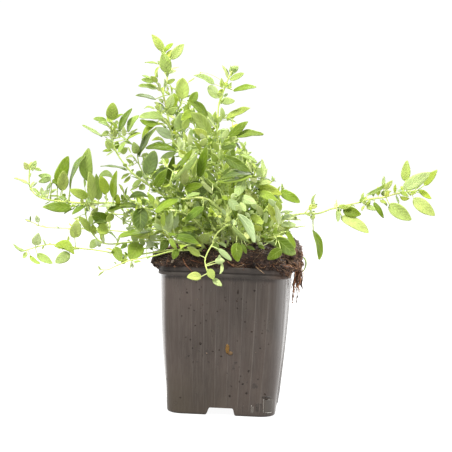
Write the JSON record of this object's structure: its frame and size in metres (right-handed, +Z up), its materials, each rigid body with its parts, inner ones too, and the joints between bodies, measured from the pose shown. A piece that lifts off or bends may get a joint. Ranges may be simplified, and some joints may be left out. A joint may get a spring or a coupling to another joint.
{
  "type": "oregano plant in a square nursery pot",
  "caption": "Bushy oregano herb with trailing leafy shoots, rooted in a proud compost root ball in a thin square nursery pot with a stepped rim and four feet.",
  "frame": {"origin": "the pot's axis at the level of its feet, which is also the middle of the plant's footprint", "axes": "+Z up, +X to the viewer's right along the plant's long spread, -Y towards the viewer; the pot's four faces look along +X, -X, +Y and -Y"},
  "size_m": [0.2867, 0.1777, 0.2544],
  "materials": {
    "pot_plastic": "satin",
    "compost": "matte",
    "green_shoot": "satin",
    "leaf_green": "satin"
  },
  "bodies": {
    "root": {"pot": "pot_plastic", "compost_root_ball": "compost", "shoot_tall_left": "green_shoot", "shoot_tall_middle": "green_shoot", "shoot_upper_middle": "green_shoot", "shoot_left_upper": "green_shoot", "shoot_left_long": "green_shoot", "shoot_left_behind": "green_shoot", "shoot_left_low": "green_shoot", "shoot_left_drooping": "green_shoot", "shoot_left_middle": "green_shoot", "shoot_right_long": "green_shoot", "stalk_right_bare": "green_shoot", "shoot_front_trailing": "green_shoot", "shoot_front_left_inner": "green_shoot", "shoot_front_left_outer": "green_shoot", "shoot_front_leaning_low": "green_shoot", "shoot_front_leaning_high": "green_shoot", "shoot_centre": "green_shoot", "shoot_centre_right": "green_shoot", "shoot_centre_right_short": "green_shoot", "shoot_front_short_a": "green_shoot", "shoot_front_short_b": "green_shoot", "shoot_front_left_low": "green_shoot", "shoot_front_right_short": "green_shoot", "shoot_right_inner": "green_shoot", "shoot_back_centre": "green_shoot", "shoot_back_left": "green_shoot", "shoot_back_left_high": "green_shoot", "shoot_back_low_left": "green_shoot", "shoot_back_low_right": "green_shoot", "shoot_back_left_low": "green_shoot", "shoot_left_back_high": "green_shoot", "shoot_back_tall": "green_shoot", "shoot_back_tall_left": "green_shoot", "shoot_left_back_low": "green_shoot", "shoot_inner_left": "green_shoot", "shoot_inner_left_front": "green_shoot", "shoot_front_inner_left": "green_shoot", "shoot_front_side_left": "green_shoot", "shoot_side_left": "green_shoot", "shoot_back_right_low": "green_shoot", "leaf_centre": "leaf_green", "leaf_centre_right": "leaf_green", "leaf_front_leaning_high": "leaf_green", "leaf_front_left_inner": "leaf_green", "leaf_front_left_low": "leaf_green", "leaf_front_left_outer": "leaf_green", "leaf_front_short_b": "leaf_green", "leaf_left_long_a": "leaf_green", "leaf_left_long_b": "leaf_green", "leaf_left_long_c": "leaf_green", "leaf_left_middle": "leaf_green", "leaf_left_upper_a": "leaf_green", "leaf_left_upper_b": "leaf_green", "leaf_right_long_a": "leaf_green", "leaf_right_long_b": "leaf_green", "leaf_right_long_c": "leaf_green", "leaf_tall_left": "leaf_green"}
  },
  "joints": []
}
